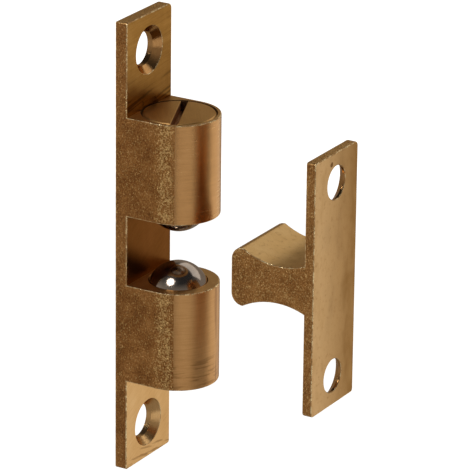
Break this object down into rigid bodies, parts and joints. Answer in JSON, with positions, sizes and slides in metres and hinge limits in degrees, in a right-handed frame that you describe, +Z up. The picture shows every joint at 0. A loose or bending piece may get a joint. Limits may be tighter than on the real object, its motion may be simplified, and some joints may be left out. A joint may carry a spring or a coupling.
{
  "type": "double ball catch with strike",
  "caption": "Brass ball catch whose sprung steel balls grip the waisted tongue of a separate screw-on strike, with slotted screws to set the grip.",
  "frame": {"origin": "centre of the catch's back face, the face that lies on the door or the frame", "axes": "+Z up along the catch's plate, +X across its width, +Y out of its back face into what it is screwed to"},
  "size_m": [0.0106, 0.0287, 0.06],
  "materials": {
    "antique_brass": "satin, brown antique tone, fine machining lines",
    "polished_steel": "polished bearing ball",
    "spring_steel": "drawn wire",
    "screw_brass": "turned and brushed"
  },
  "bodies": {
    "catch": {"catch_body": "antique_brass"},
    "upper_ball": {"upper_ball": "polished_steel"},
    "lower_ball": {"lower_ball": "polished_steel"},
    "upper_spring": {"upper_spring": "spring_steel"},
    "lower_spring": {"lower_spring": "spring_steel"},
    "upper_adjuster": {"upper_adjusting_screw": "screw_brass"},
    "lower_adjuster": {"lower_adjusting_screw": "screw_brass"},
    "strike": {"strike": "antique_brass"}
  },
  "joints": [
    {"name": "upper_ball_slide", "type": "slide", "parent": "catch", "child": "upper_ball", "axis": [0, 0, 1], "range_m": [0, 0.0018], "stiffness_N_per_m": 3400, "deforming": ["upper_spring"]},
    {"name": "upper_adjuster_travel", "type": "slide", "parent": "catch", "child": "upper_spring", "axis": [0, 0, -1], "range_m": [-0.00038, 0.00112], "deforming": ["upper_spring"]},
    {"name": "upper_adjuster_turn", "type": "hinge", "parent": "upper_spring", "child": "upper_adjuster", "pos_m": [0, -0.0061, 0.01775], "axis": [0, 0, -1], "range_deg": [-180, 540]},
    {"name": "lower_ball_slide", "type": "slide", "parent": "catch", "child": "lower_ball", "axis": [0, 0, -1], "range_m": [0, 0.0018], "stiffness_N_per_m": 3400, "deforming": ["lower_spring"]},
    {"name": "lower_adjuster_travel", "type": "slide", "parent": "catch", "child": "lower_spring", "axis": [0, 0, 1], "range_m": [-0.00038, 0.00112], "deforming": ["lower_spring"]},
    {"name": "lower_adjuster_turn", "type": "hinge", "parent": "lower_spring", "child": "lower_adjuster", "pos_m": [0, -0.0061, -0.01775], "axis": [0, 0, 1], "range_deg": [-180, 540]},
    {"name": "strike_approach", "type": "slide", "parent": "catch", "child": "strike", "axis": [0, 1, 0], "range_m": [0, 0.0084]}
  ],
  "couplings": [
    {"joint": "upper_adjuster_turn", "follows": "upper_adjuster_travel", "rad_per_m": 8377.6},
    {"joint": "lower_adjuster_turn", "follows": "lower_adjuster_travel", "rad_per_m": 8377.6}
  ]
}
